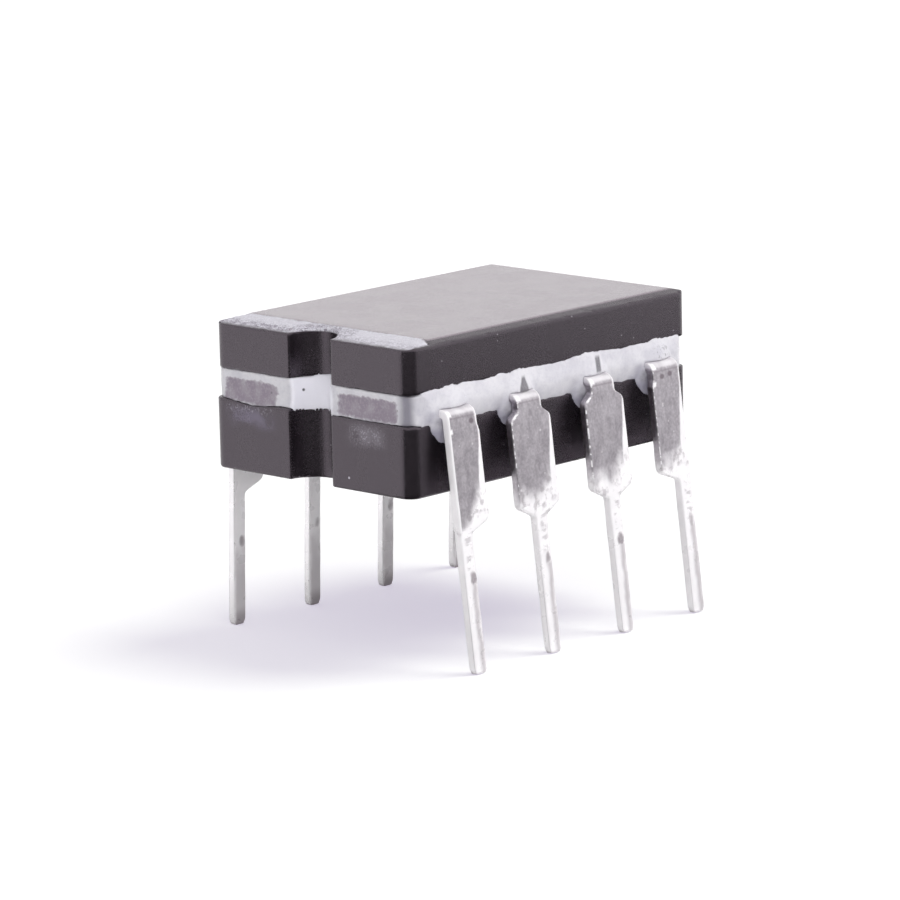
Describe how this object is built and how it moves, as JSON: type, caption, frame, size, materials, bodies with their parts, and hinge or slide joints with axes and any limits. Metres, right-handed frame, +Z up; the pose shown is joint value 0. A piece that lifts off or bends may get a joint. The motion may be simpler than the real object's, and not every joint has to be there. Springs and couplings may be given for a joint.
{
  "type": "operational amplifier chip",
  "caption": "Dual-in-line amplifier chip: dark ceramic base and bevelled cap joined by a pale glass seal, with an end notch and bent tinned leads.",
  "frame": {"origin": "under the middle of the ceramic base, at the height of the lead tips; the two rows of leads splay by different angles, so the middle of the overall box is 0.27 mm further towards -Y", "axes": "+Z up from the lead tips to the cap, +X along the body away from the notch, lead 1 at -X -Y"},
  "size_m": [0.0096, 0.0081, 0.0076],
  "materials": {
    "ceramic": "matt, fine-grained",
    "sealing_glass": "milky, opaque, satin",
    "tinned_lead": "hot-tinned, satin",
    "silicon": "polished",
    "die_bond": "dull",
    "bond_wire": "drawn"
  },
  "bodies": {
    "root": {"ceramic_base": "ceramic", "ceramic_cap": "ceramic", "glass_seal": "sealing_glass", "die": "silicon", "die_attach": "die_bond", "lead_1": "tinned_lead", "lead_2": "tinned_lead", "lead_3": "tinned_lead", "lead_4": "tinned_lead", "lead_5": "tinned_lead", "lead_6": "tinned_lead", "lead_7": "tinned_lead", "lead_8": "tinned_lead", "bond_wire_1": "bond_wire", "bond_wire_2": "bond_wire", "bond_wire_3": "bond_wire", "bond_wire_4": "bond_wire", "bond_wire_5": "bond_wire", "bond_wire_6": "bond_wire", "bond_wire_7": "bond_wire"}
  },
  "joints": []
}
